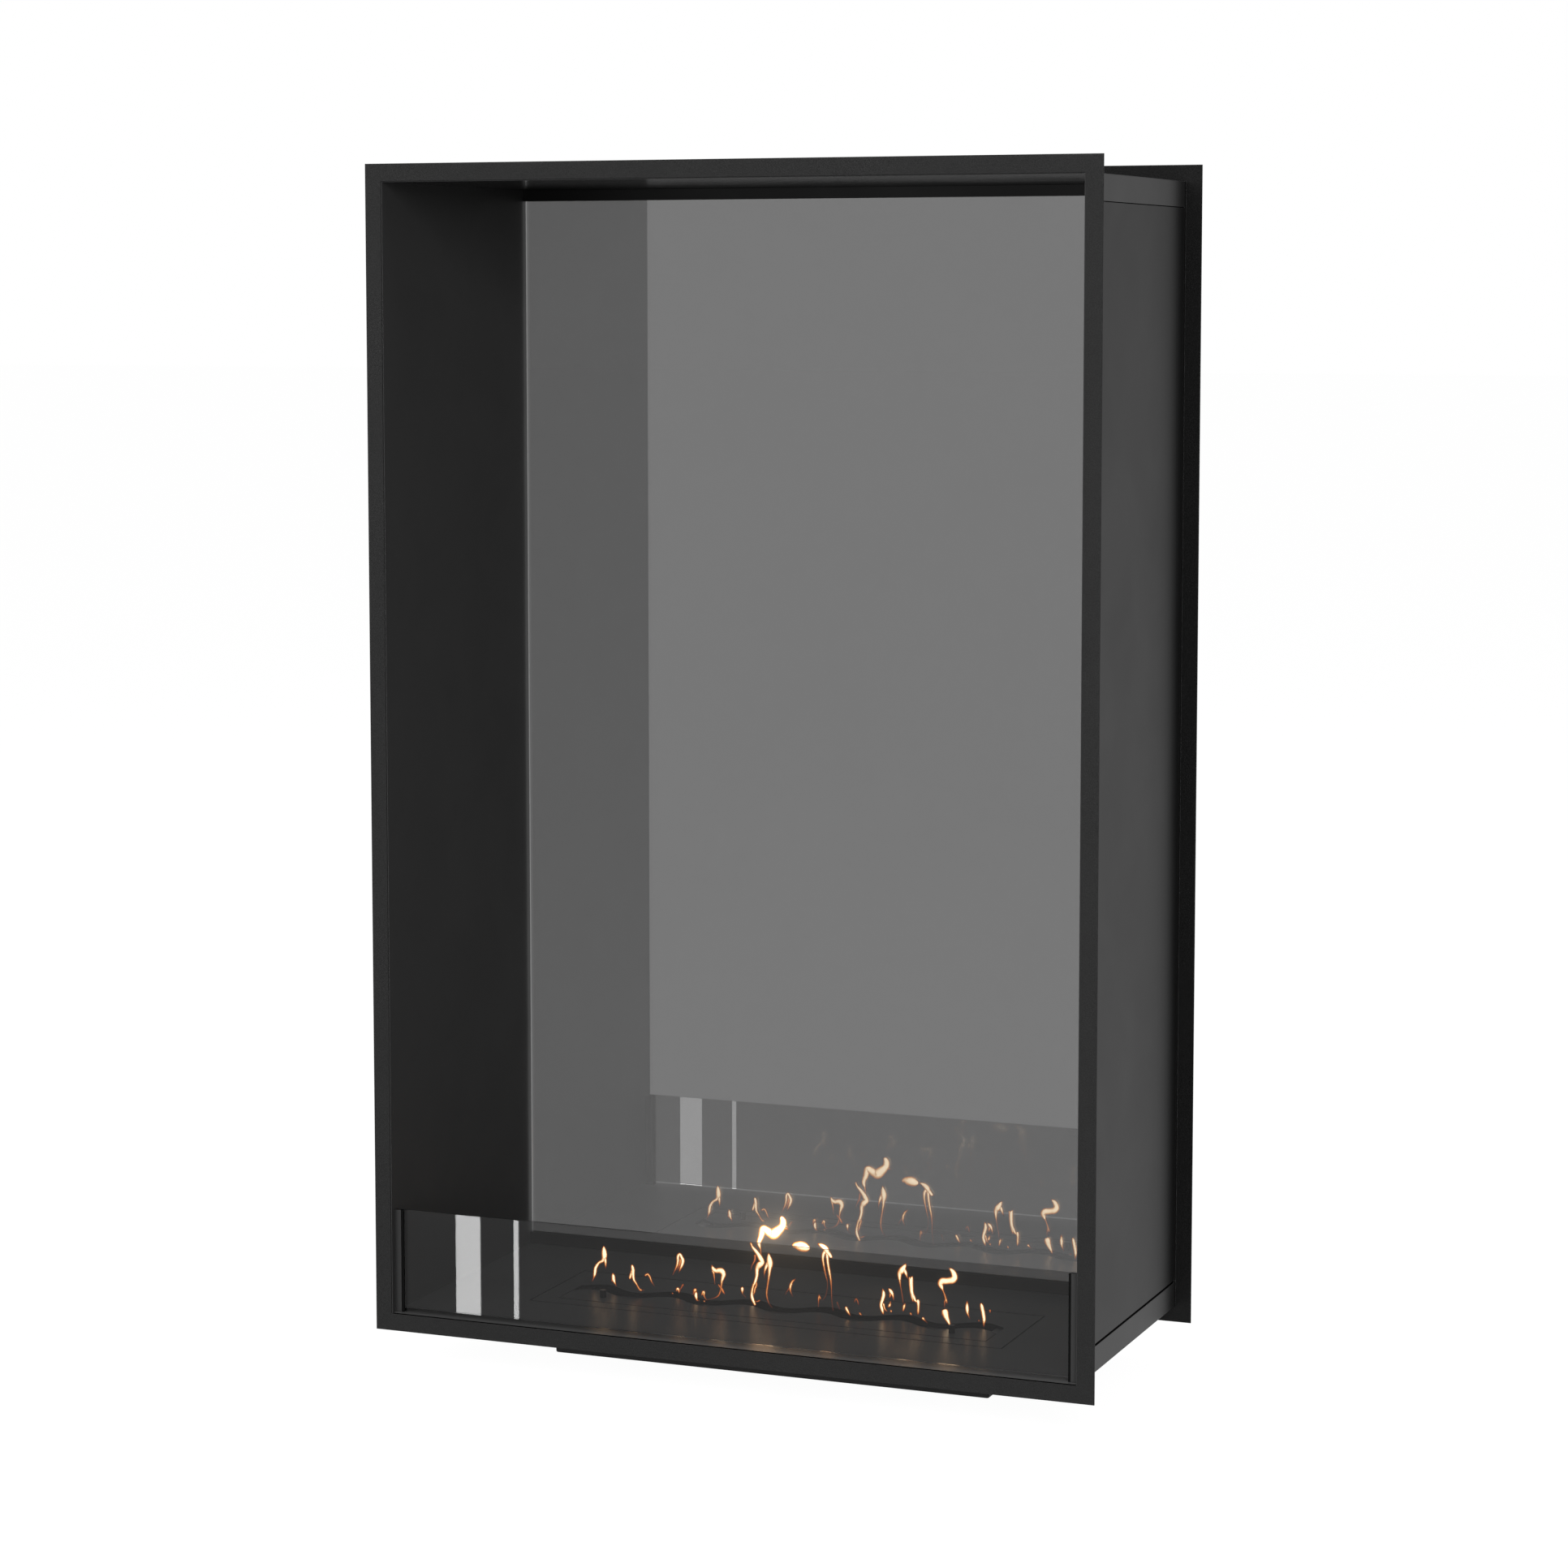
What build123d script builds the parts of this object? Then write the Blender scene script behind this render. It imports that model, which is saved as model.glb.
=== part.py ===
from build123d import *

import os
from math import cos, pi

# See-through ethanol fireplace for a wall opening, in millimetres.
#
# The origin is the middle of the front frame's lower edge, in the plane of the
# frame's back face, which lies on the wall. +X runs to the right as one faces
# the fire, +Y runs into the wall, +Z is up.

# ---------------------------------------------------------------- overall size
overall_width = 837.0      # outer width of both frames
overall_height = 1290.0    # outer height of both frames
overall_depth = 363.0      # front face of the front frame to rear face of the rear one

# ------------------------------------------------------------- frames and case
frame_sheet = 2.0          # thickness of a frame ring
frame_border = 19.0        # flat width of a frame ring
frame_edge_radius = 0.4    # coated edge on the visible face of a ring
front_collar_depth = 14.0  # collar of the front frame, over the liner
rear_collar_depth = 6.0    # collar of the rear frame, over the liner
liner_sheet = 1.0
liner_setback = 1.0        # liner edge, behind the visible face of a ring
skin_sheet = 1.0           # outer panels, cover and base tray, and the collars
skin_bend_radius = 0.8     # outside radius where the cover and the tray are folded
band_height = 28.0         # folded bands of the cover and the base tray
cover_gap = 1.0            # joint between the cover's band and a side panel
tray_gap = 3.0             # shadow gap between the base tray's band and a side panel

# ----------------------------------------------------------------------- glass
glass_arris = 0.4          # ground edge of both panes
rear_glass_thickness = 4.0
rear_glass_side_gap = 2.0  # glass edge to liner wall
rear_glass_top_gap = 1.5   # glass edge to the web of the head rail
rear_seal_thickness = 0.5
rear_seal_height = 8.0
rail_lip = 1.5             # lips and webs of the head rail and the sill
head_rail_height = 12.5
sill_height = 14.0
setting_pad_height = 2.0
setting_pad_length = 60.0
setting_pad_spacing = 480.0

# --------------------------------------------------------------- front screen
screen_thickness = 4.0
screen_height = 111.5
screen_floor_gap = 4.5     # lower glass edge above the floor
screen_side_gap = 0.5      # glass edge to gasket, each side
channel_setback = 5.0      # front lip behind the wall plane
channel_width = 8.0
channel_height = 115.5
channel_sheet = 1.0
gasket_sheet = 0.5
gasket_reach = 3.0         # how far the gasket shows past the channel's lips
sliding_gap = 0.3          # between pieces that slide on each other

# --------------------------------------------------------------------- screws
screw_radius = 1.25
screw_head_radius = 2.2
screw_hole_radius = 1.35
screw_end_recess = 0.2     # screw tip inside the outer face of the collar
screw_cone_angle = 90
rail_screw_spacing = 240.0
rail_screw_count = 4
channel_screw_low = 12.0   # above the floor
channel_screw_spacing = 90.0

# ---------------------------------------------------------------- burner plate
plate_length = 559.0
plate_depth = 146.5
plate_thickness = 3.0
plate_joint = 1.8          # joint between the plate and the floor, all round
ledge_sheet = 1.0

# ------------------------------------------------------------------- wave lid
lid_length = 509.0
lid_front_land = 22.75     # plate in front of the lid
lid_depth = 37.5           # lid front to the middle line of its wave
lid_front_joint = 1.8      # joint between the open lid's front and the plate
lid_end_joint = 1.0        # joint between the lid's ends and the plate
slot_width = 25.5          # flame slot, lid wave to plate wave
wave_pitch = 91.7
wave_height = 21.4         # crest to trough
wave_first_crest = -229.7
wave_points_per_pitch = 8

# ------------------------------------------------------------------ lid knobs
knob_spacing = 418.0
knob_line = 19.0           # behind the lid's front edge
knob_radius = 3.5
knob_height = 9.0
knob_top_radius = 0.6
knob_screw_radius = 1.5
knob_screw_head_radius = 2.9
knob_screw_depth = 5.0     # thread length inside a knob
knob_hole_radius = 1.6

# ----------------------------------------------------------------------- tank
tank_length = 518.0
tank_depth = 105.0
tank_height = 60.0
tank_sheet = 1.0
tank_corner_radius = 3.0
tank_bottom_radius = 2.0
tank_well_gap = 3.0        # tank to the edge of the well's ledge
runner_width = 14.0        # side runners under the lid
runner_sheet = 1.5
strip_depth = 26.5         # draught strip under the lid's front
tray_side_gap = 4.0        # tank wall to fuel tray
tray_height = 44.0
tray_sheet = 1.0
fibre_height = 38.0
fibre_gap = 0.3            # fibre to tray wall
mesh_sheet = 1.0
mesh_hole_radius = 4.0
mesh_hole_pitch = 16.0
mesh_hole_columns = 30
mesh_hole_rows = 4
mesh_row_pitch = 20.0

# -------------------------------------------------------------- derived places
half_width = overall_width / 2
liner_half = half_width - frame_border
inner_half = liner_half - liner_sheet
case_half = liner_half + skin_sheet

case_bottom = frame_border - skin_sheet
liner_bottom = frame_border
floor_top = frame_border + liner_sheet
roof_underside = overall_height - floor_top
liner_top = overall_height - liner_bottom
case_top = overall_height - case_bottom
mid_height = overall_height / 2

front_face = -frame_sheet
rear_face = overall_depth - frame_sheet
rear_wall_face = rear_face - frame_sheet
liner_run = (front_face + liner_setback, rear_face - liner_setback)
skin_run = (front_collar_depth, rear_wall_face - rear_collar_depth)
mid_depth = (front_face + rear_face) / 2

rear_glass_half = inner_half - rear_glass_side_gap
rail_depth = rear_glass_thickness + 2 * (rear_seal_thickness + rail_lip)
rail_front = rear_face - rail_depth
rear_glass_front = rail_front + rail_lip + rear_seal_thickness
rear_glass_bottom = floor_top + rail_lip + setting_pad_height
rear_glass_top = roof_underside - rail_lip - rear_glass_top_gap
rail_slot_middle = rear_glass_front + rear_glass_thickness / 2

channel_slot = screen_thickness + 2 * (gasket_sheet + sliding_gap)
channel_depth = channel_slot + 2 * channel_sheet
slot_front = channel_setback + channel_sheet
slot_middle = slot_front + channel_slot / 2
screen_front = slot_front + gasket_sheet + sliding_gap
screen_bottom = floor_top + screen_floor_gap
web_face = inner_half - channel_sheet
gasket_face = web_face - gasket_sheet
screen_half = gasket_face - screen_side_gap
channel_screw_heights = (
    floor_top + channel_screw_low,
    floor_top + channel_screw_low + channel_screw_spacing,
)

plate_bottom = floor_top - plate_thickness
ledge_top = plate_bottom - sliding_gap
well_length = plate_length + 2 * plate_joint
well_depth = plate_depth + 2 * plate_joint
ledge_opening_length = tank_length + 2 * tank_well_gap
ledge_opening_depth = tank_depth + 2 * tank_well_gap

lid_half = lid_length / 2
lid_front = mid_depth - plate_depth / 2 + lid_front_land
lid_bottom = plate_bottom + sliding_gap
lid_wave_line = lid_front + lid_depth
plate_wave_line = lid_wave_line + slot_width

tank_bottom = plate_bottom - tank_height
tank_inner_half = tank_length / 2 - tank_sheet
tank_inner_front = mid_depth - tank_depth / 2 + tank_sheet
tank_inner_rear = mid_depth + tank_depth / 2 - tank_sheet
runner_bottom = plate_bottom - runner_sheet
tray_bottom = tank_bottom + tank_sheet
tray_half = tank_inner_half - tray_side_gap
tray_front = tank_inner_front + tray_side_gap
tray_rear = tank_inner_rear - tray_side_gap
fibre_bottom = tray_bottom + tray_sheet
fibre_half = tray_half - tray_sheet - fibre_gap
fibre_run = (tray_front + tray_sheet + fibre_gap, tray_rear - tray_sheet - fibre_gap)
mesh_bottom = fibre_bottom + fibre_height


# -------------------------------------------------------------------- helpers
def block(x, y, z, mode=Mode.ADD):
    """Adds or cuts a rectangular block between the given limits."""
    middle = ((x[0] + x[1]) / 2, (y[0] + y[1]) / 2, (z[0] + z[1]) / 2)
    with Locations(middle):
        Box(x[1] - x[0], y[1] - y[0], z[1] - z[0], mode=mode)


def side_span(side, outer, inner):
    """X limits, lowest first, of a piece on the left (-1) or right (+1)."""
    return tuple(sorted((side * outer, side * inner)))


def countersunk_screw(shank_length, shank_radius, head_radius):
    """A screw along the local Z axis, its flat head at the local origin."""
    head_height = head_radius - shank_radius
    with Locations((0, 0, -head_height / 2)):
        Cone(shank_radius, head_radius, head_height)
    with Locations((0, 0, -(head_height + shank_length) / 2)):
        Cylinder(shank_radius, shank_length - head_height)


def countersunk_hole(depth):
    """A countersunk hole for the small screws, its mouth at the local origin."""
    CounterSinkHole(screw_hole_radius, screw_head_radius, depth=depth, counter_sink_angle=screw_cone_angle)


def wave_panel(half_length, front, middle_line):
    """Adds a face with a straight front, straight sides and a wavy rear edge."""
    overrun = half_length + wave_pitch / 2
    step = wave_pitch / wave_points_per_pitch
    points = []
    x = wave_first_crest - wave_pitch
    while x < overrun + step:
        swing = cos(2 * pi * (x - wave_first_crest) / wave_pitch)
        points.append((x, middle_line + wave_height / 2 * swing))
        x += step
    with BuildLine() as outline:
        wave = Spline(*points)
        Polyline(wave @ 1, ((wave @ 1).X, front), ((wave @ 0).X, front), wave @ 0)
    make_face(outline.edges())
    with Locations((0, middle_line)):
        Rectangle(2 * half_length, 2 * (middle_line - front), mode=Mode.INTERSECT)


def save(piece, label):
    piece.part.label = label
    export_step(piece.part, f"parts/{label}.step")


os.makedirs("parts", exist_ok=True)


# --------------------------------------------------------------------- frames
def l_frame(wall_face, outward, collar_depth):
    """A flat ring on the wall face, with a thin collar reaching over the liner."""
    plane = Plane(origin=(0, wall_face, 0), x_dir=(-outward, 0, 0), z_dir=(0, outward, 0))
    with BuildPart() as frame:
        with BuildSketch(plane):
            with Locations((0, mid_height)):
                Rectangle(overall_width, overall_height)
                Rectangle(2 * liner_half, liner_top - liner_bottom, mode=Mode.SUBTRACT)
        extrude(amount=frame_sheet)
        visible_face = frame.faces().sort_by(Axis(plane.origin, plane.z_dir))[-1]
        fillet(visible_face.edges(), frame_edge_radius)
        with BuildSketch(plane):
            with Locations((0, mid_height)):
                Rectangle(2 * case_half, case_top - case_bottom)
                Rectangle(2 * liner_half, liner_top - liner_bottom, mode=Mode.SUBTRACT)
        extrude(amount=-collar_depth)
    return frame


def channel_screw_planes(side, x):
    """Planes at the channel screws, facing the middle of the fireplace."""
    return [
        Plane(origin=(side * x, slot_middle, height), z_dir=(-side, 0, 0))
        for height in channel_screw_heights
    ]


def rail_screw_planes(height, facing):
    """Planes at the screws of the head rail or the sill."""
    first = -rail_screw_spacing * (rail_screw_count - 1) / 2
    return [
        Plane(origin=(first + index * rail_screw_spacing, rail_slot_middle, height), z_dir=(0, 0, facing))
        for index in range(rail_screw_count)
    ]


with BuildPart() as front_frame:
    add(l_frame(0, -1, front_collar_depth).part)
    for side in (-1, 1):
        with Locations(*channel_screw_planes(side, liner_half)):
            Hole(screw_hole_radius, depth=2 * skin_sheet)
save(front_frame, "front_frame")

with BuildPart() as rear_frame:
    add(l_frame(rear_wall_face, 1, rear_collar_depth).part)
    with Locations(*rail_screw_planes(liner_bottom, 1), *rail_screw_planes(liner_top, -1)):
        Hole(screw_hole_radius, depth=2 * skin_sheet)
save(rear_frame, "rear_frame")


# ---------------------------------------------------------------------- liner
def liner_wall(side):
    with BuildPart() as wall:
        block(side_span(side, liner_half, inner_half), liner_run, (liner_bottom, liner_top))
        with Locations(*channel_screw_planes(side, inner_half)):
            Hole(screw_hole_radius, depth=2 * liner_sheet)
    return wall


save(liner_wall(-1), "left_wall")
save(liner_wall(1), "right_wall")

with BuildPart() as roof_liner:
    block((-inner_half, inner_half), liner_run, (roof_underside, liner_top))
    with Locations(*rail_screw_planes(roof_underside, -1)):
        Hole(screw_hole_radius, depth=2 * liner_sheet)
save(roof_liner, "roof_liner")

with BuildPart() as floor_plate:
    block((-inner_half, inner_half), liner_run, (liner_bottom, floor_top))
    with BuildSketch(Plane.XY.offset(liner_bottom)):
        with Locations((0, mid_depth)):
            Rectangle(well_length, well_depth)
    extrude(amount=liner_sheet, mode=Mode.SUBTRACT)
    with Locations(*rail_screw_planes(floor_top, 1)):
        Hole(screw_hole_radius, depth=2 * liner_sheet)
save(floor_plate, "floor_plate")


# ---------------------------------------------------------------- outer panels
def fold_edges(piece, height):
    """The two long outer edges where a sheet is folded into its bands."""
    return piece.edges().filter_by(Axis.Y).filter_by(
        lambda edge: abs(edge.center().Z - height) < 0.01 and abs(abs(edge.center().X) - case_half) < 0.01
    )


with BuildPart() as top_cover:
    block((-case_half, case_half), skin_run, (liner_top, case_top))
    for side in (-1, 1):
        block(side_span(side, case_half, liner_half), skin_run, (case_top - band_height, case_top))
    fillet(fold_edges(top_cover, case_top), skin_bend_radius)
save(top_cover, "top_cover")

with BuildPart() as base_tray:
    block((-case_half, case_half), skin_run, (case_bottom, liner_bottom))
    for side in (-1, 1):
        block(side_span(side, case_half, liner_half), skin_run, (case_bottom, case_bottom + band_height))
    fillet(fold_edges(base_tray, case_bottom), skin_bend_radius)
    # The well: a sunk ledge that carries the burner plate's rim.
    with BuildSketch(Plane.XY.offset(liner_bottom)):
        with Locations((0, mid_depth)):
            Rectangle(well_length + 2 * ledge_sheet, well_depth + 2 * ledge_sheet)
    extrude(amount=-(liner_bottom - ledge_top + ledge_sheet))
    with BuildSketch(Plane.XY.offset(liner_bottom)):
        with Locations((0, mid_depth)):
            Rectangle(well_length, well_depth)
    extrude(amount=-(liner_bottom - ledge_top), mode=Mode.SUBTRACT)
    with BuildSketch(Plane.XY.offset(ledge_top)):
        with Locations((0, mid_depth)):
            Rectangle(ledge_opening_length, ledge_opening_depth)
    extrude(amount=-2 * ledge_sheet, mode=Mode.SUBTRACT)
save(base_tray, "base_tray")


def side_panel(side):
    with BuildPart() as panel:
        block(
            side_span(side, case_half, liner_half),
            skin_run,
            (case_bottom + band_height + tray_gap, case_top - band_height - cover_gap),
        )
    return panel


save(side_panel(-1), "left_side_panel")
save(side_panel(1), "right_side_panel")


# ------------------------------------------------------------------ rear glass
with BuildPart() as rear_glass:
    block(
        (-rear_glass_half, rear_glass_half),
        (rear_glass_front, rear_glass_front + rear_glass_thickness),
        (rear_glass_bottom, rear_glass_top),
    )
    chamfer(rear_glass.edges(), glass_arris)
save(rear_glass, "rear_glass")


def glass_rail(web_outside, facing, height):
    """A U rail across the opening: web on the liner, lips towards the glass."""
    web_inside = web_outside + facing * rail_lip
    lip_end = web_outside + facing * height
    rail_slot = (rail_front + rail_lip, rear_face - rail_lip)
    with BuildPart() as rail:
        block((-inner_half, inner_half), (rail_front, rear_face), sorted((web_outside, lip_end)))
        block((-inner_half, inner_half), rail_slot, sorted((web_inside, lip_end)), mode=Mode.SUBTRACT)
        with Locations(*rail_screw_planes(web_inside, facing)):
            countersunk_hole(depth=2 * rail_lip)
    return rail


save(glass_rail(floor_top, 1, sill_height), "rear_sill")
save(glass_rail(roof_underside, -1, head_rail_height), "rear_head_rail")

with BuildPart() as rear_glass_seals:
    seal_faces = (rail_front + rail_lip, rear_glass_front + rear_glass_thickness)
    seal_tops = (floor_top + sill_height, roof_underside - head_rail_height + rear_seal_height)
    for seal_face in seal_faces:
        for seal_top in seal_tops:
            block(
                (-rear_glass_half, rear_glass_half),
                (seal_face, seal_face + rear_seal_thickness),
                (seal_top - rear_seal_height, seal_top),
            )
save(rear_glass_seals, "rear_glass_seals")

with BuildPart() as rear_setting_pads:
    with BuildSketch(Plane.XY.offset(floor_top + rail_lip)):
        with Locations((0, rail_slot_middle)):
            with GridLocations(setting_pad_spacing, 1, 2, 1):
                Rectangle(setting_pad_length, rear_glass_thickness)
    extrude(amount=setting_pad_height)
save(rear_setting_pads, "rear_setting_pads")

with BuildPart() as rail_screws:
    rail_screw_length = rail_lip + liner_sheet + skin_sheet - screw_end_recess
    sill_screws = rail_screw_planes(floor_top + rail_lip, 1)
    head_screws = rail_screw_planes(roof_underside - rail_lip, -1)
    with Locations(*sill_screws, *head_screws):
        countersunk_screw(rail_screw_length, screw_radius, screw_head_radius)
save(rail_screws, "rail_screws")


# ---------------------------------------------------------------- front screen
def glass_channel(side):
    """A U channel standing on the floor against the liner wall."""
    with BuildPart() as channel:
        channel_span = side_span(side, inner_half, inner_half - channel_width)
        slot_span = side_span(side, web_face, inner_half - channel_width)
        height = (floor_top, floor_top + channel_height)
        block(channel_span, (channel_setback, channel_setback + channel_depth), height)
        block(slot_span, (slot_front, slot_front + channel_slot), height, mode=Mode.SUBTRACT)
        with Locations(*channel_screw_planes(side, web_face)):
            countersunk_hole(depth=2 * channel_sheet)
    return channel


save(glass_channel(-1), "left_glass_channel")
save(glass_channel(1), "right_glass_channel")

with BuildPart() as channel_gaskets:
    for side in (-1, 1):
        gasket_end = inner_half - channel_width - gasket_reach
        height = (floor_top, floor_top + channel_height)
        lined = (slot_front + gasket_sheet, slot_front + channel_slot - gasket_sheet)
        block(side_span(side, web_face, gasket_end), (slot_front, slot_front + channel_slot), height)
        block(side_span(side, gasket_face, gasket_end), lined, height, mode=Mode.SUBTRACT)
save(channel_gaskets, "channel_gaskets")

with BuildPart() as screen_pads:
    for side in (-1, 1):
        block(
            side_span(side, gasket_face, inner_half - channel_width),
            (slot_front + gasket_sheet, slot_front + channel_slot - gasket_sheet),
            (floor_top, screen_bottom - sliding_gap),
        )
save(screen_pads, "screen_pads")

with BuildPart() as channel_screws:
    channel_screw_length = channel_sheet + liner_sheet + skin_sheet - screw_end_recess
    screw_planes = channel_screw_planes(-1, web_face) + channel_screw_planes(1, web_face)
    with Locations(*screw_planes):
        countersunk_screw(channel_screw_length, screw_radius, screw_head_radius)
save(channel_screws, "channel_screws")

with BuildPart() as front_glass:
    block(
        (-screen_half, screen_half),
        (screen_front, screen_front + screen_thickness),
        (screen_bottom, screen_bottom + screen_height),
    )
    chamfer(front_glass.edges(), glass_arris)
save(front_glass, "front_glass")


# ---------------------------------------------------------------------- burner
with BuildPart() as burner_plate:
    with BuildSketch(Plane.XY.offset(plate_bottom)):
        with Locations((0, mid_depth)):
            Rectangle(plate_length, plate_depth)
    extrude(amount=plate_thickness)
    with BuildSketch(Plane.XY.offset(plate_bottom)):
        wave_panel(lid_half + lid_end_joint, lid_front - lid_front_joint, plate_wave_line)
    extrude(amount=plate_thickness, mode=Mode.SUBTRACT)
save(burner_plate, "burner_plate")

with BuildPart() as tank_casing:
    with BuildSketch(Plane.XY.offset(tank_bottom)):
        with Locations((0, mid_depth)):
            RectangleRounded(tank_length, tank_depth, tank_corner_radius)
    extrude(amount=tank_height)
    fillet(tank_casing.faces().sort_by(Axis.Z)[0].edges(), tank_bottom_radius)
    offset(amount=-tank_sheet, openings=tank_casing.faces().sort_by(Axis.Z)[-1])
save(tank_casing, "tank_casing")

with BuildPart() as draught_strip:
    strip_run = (tank_inner_front, tank_inner_front + strip_depth)
    block((-tank_inner_half, tank_inner_half), strip_run, (runner_bottom, plate_bottom))
    fillet(draught_strip.edges().filter_by(Axis.Z).group_by(Axis.Y)[0], tank_corner_radius)
save(draught_strip, "draught_strip")

with BuildPart() as lid_runners:
    for side in (-1, 1):
        block(
            side_span(side, tank_inner_half, tank_inner_half - runner_width),
            (tank_inner_front + strip_depth, tank_inner_rear),
            (runner_bottom, plate_bottom),
        )
    rear_corners = lid_runners.edges().filter_by(Axis.Z).group_by(Axis.Y)[-1].sort_by(Axis.X)
    fillet([rear_corners[0], rear_corners[-1]], tank_corner_radius)
save(lid_runners, "lid_runners")

with BuildPart() as fuel_tray:
    block((-tray_half, tray_half), (tray_front, tray_rear), (tray_bottom, tray_bottom + tray_height))
    offset(amount=-tray_sheet, openings=fuel_tray.faces().sort_by(Axis.Z)[-1])
save(fuel_tray, "fuel_tray")

with BuildPart() as ceramic_fibre:
    block((-fibre_half, fibre_half), fibre_run, (fibre_bottom, mesh_bottom))
save(ceramic_fibre, "ceramic_fibre")

with BuildPart() as mesh_cover:
    block((-fibre_half, fibre_half), fibre_run, (mesh_bottom, mesh_bottom + mesh_sheet))
    with Locations((0, mid_depth, mesh_bottom + mesh_sheet)):
        with GridLocations(mesh_hole_pitch, mesh_row_pitch, mesh_hole_columns, mesh_hole_rows):
            Hole(mesh_hole_radius)
save(mesh_cover, "mesh_cover")


# -------------------------------------------------------------------- wave lid
knob_points = [(side * knob_spacing / 2, lid_front + knob_line) for side in (-1, 1)]

with BuildPart() as wave_lid:
    with BuildSketch(Plane.XY.offset(lid_bottom)):
        wave_panel(lid_half, lid_front, lid_wave_line)
    extrude(amount=floor_top - lid_bottom)
    with Locations(*[Plane(origin=(x, y, lid_bottom), z_dir=(0, 0, -1)) for x, y in knob_points]):
        CounterSinkHole(knob_hole_radius, knob_screw_head_radius, counter_sink_angle=screw_cone_angle)
save(wave_lid, "wave_lid")

with BuildPart() as lid_knobs:
    with BuildSketch(Plane.XY.offset(floor_top)):
        with Locations(*knob_points):
            Circle(knob_radius)
    extrude(amount=knob_height)
    fillet(lid_knobs.edges().group_by(Axis.Z)[-1], knob_top_radius)
    with BuildSketch(Plane.XY.offset(floor_top)):
        with Locations(*knob_points):
            Circle(knob_screw_radius)
    extrude(amount=knob_screw_depth, mode=Mode.SUBTRACT)
save(lid_knobs, "lid_knobs")

with BuildPart() as knob_screws:
    knob_screw_length = floor_top - lid_bottom + knob_screw_depth
    with Locations(*[Plane(origin=(x, y, lid_bottom), z_dir=(0, 0, -1)) for x, y in knob_points]):
        countersunk_screw(knob_screw_length, knob_screw_radius, knob_screw_head_radius)
save(knob_screws, "knob_screws")
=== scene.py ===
import itertools
import math

import bmesh
import bpy
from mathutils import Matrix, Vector


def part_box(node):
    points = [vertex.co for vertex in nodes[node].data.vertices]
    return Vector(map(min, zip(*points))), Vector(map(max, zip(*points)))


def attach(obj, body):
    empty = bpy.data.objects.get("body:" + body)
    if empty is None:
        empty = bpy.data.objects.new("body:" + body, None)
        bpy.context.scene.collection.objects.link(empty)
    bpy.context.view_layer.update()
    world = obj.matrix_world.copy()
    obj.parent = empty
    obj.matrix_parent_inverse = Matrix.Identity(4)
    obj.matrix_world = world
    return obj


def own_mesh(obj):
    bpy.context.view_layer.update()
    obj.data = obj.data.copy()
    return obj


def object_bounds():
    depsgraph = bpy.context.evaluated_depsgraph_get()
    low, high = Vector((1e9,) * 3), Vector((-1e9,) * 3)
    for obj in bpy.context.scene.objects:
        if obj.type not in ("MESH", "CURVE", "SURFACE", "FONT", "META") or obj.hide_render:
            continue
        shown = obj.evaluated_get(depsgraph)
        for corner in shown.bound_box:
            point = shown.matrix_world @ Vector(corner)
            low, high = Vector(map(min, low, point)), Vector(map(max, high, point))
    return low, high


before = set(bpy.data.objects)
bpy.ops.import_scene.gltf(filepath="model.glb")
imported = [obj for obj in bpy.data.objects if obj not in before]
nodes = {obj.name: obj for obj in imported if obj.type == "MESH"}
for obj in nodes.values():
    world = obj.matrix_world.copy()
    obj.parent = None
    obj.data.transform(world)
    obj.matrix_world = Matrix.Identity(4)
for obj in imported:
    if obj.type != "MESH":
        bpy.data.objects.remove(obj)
cad_low, cad_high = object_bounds()

mm = 0.001
pure_black = (0.0, 0.0, 0.0, 1.0)
pure_white = (1.0, 1.0, 1.0, 1.0)


# ---------------------------------------------------------------- node helpers

def grey(tone):
    """A neutral colour of the given tone."""
    return (tone, tone, tone)


def add_node(tree, kind, inputs=None, **settings):
    """One node of a tree, with its settings and the constant values of its own sockets."""
    node = tree.nodes.new(kind)
    for key, value in settings.items():
        setattr(node, key, value)
    for key, value in (inputs or {}).items():
        node.inputs[key].default_value = value
    return node


def start_group(name, inputs, outputs):
    """An empty shader node group with named float inputs and named outputs."""
    group = bpy.data.node_groups.new(name, "ShaderNodeTree")
    for label, value in inputs.items():
        socket = group.interface.new_socket(label, in_out="INPUT", socket_type="NodeSocketFloat")
        socket.default_value = value
    for label, kind in outputs.items():
        group.interface.new_socket(label, in_out="OUTPUT", socket_type=kind)
    entry = group.nodes.new("NodeGroupInput")
    leave = group.nodes.new("NodeGroupOutput")
    return group, entry, leave


def place_group(tree, group, **values):
    """A group placed in a material with that material's own values."""
    node = tree.nodes.new("ShaderNodeGroup")
    node.node_tree = group
    for label, value in values.items():
        node.inputs[label.replace("_", " ")].default_value = value
    return node


def math_node(tree, operation, first, second=None, clamp=False):
    """A Math node fed by sockets or numbers."""
    node = add_node(tree, "ShaderNodeMath", operation=operation, use_clamp=clamp)
    for index, value in enumerate((first, second)):
        if value is None:
            continue
        if isinstance(value, (int, float)):
            node.inputs[index].default_value = value
        else:
            tree.links.new(value, node.inputs[index])
    return node.outputs["Value"]


def map_range(tree, value, low=0.0, high=1.0, to_low=0.0, to_high=1.0):
    """A Map Range node from one span of values to another, each from 0 to 1 unless it is given."""
    node = add_node(tree, "ShaderNodeMapRange")
    tree.links.new(value, node.inputs["Value"])
    for label, number in (("From Min", low), ("From Max", high), ("To Min", to_low), ("To Max", to_high)):
        if isinstance(number, (int, float)):
            node.inputs[label].default_value = number
        else:
            tree.links.new(number, node.inputs[label])
    return node.outputs["Result"]


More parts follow.
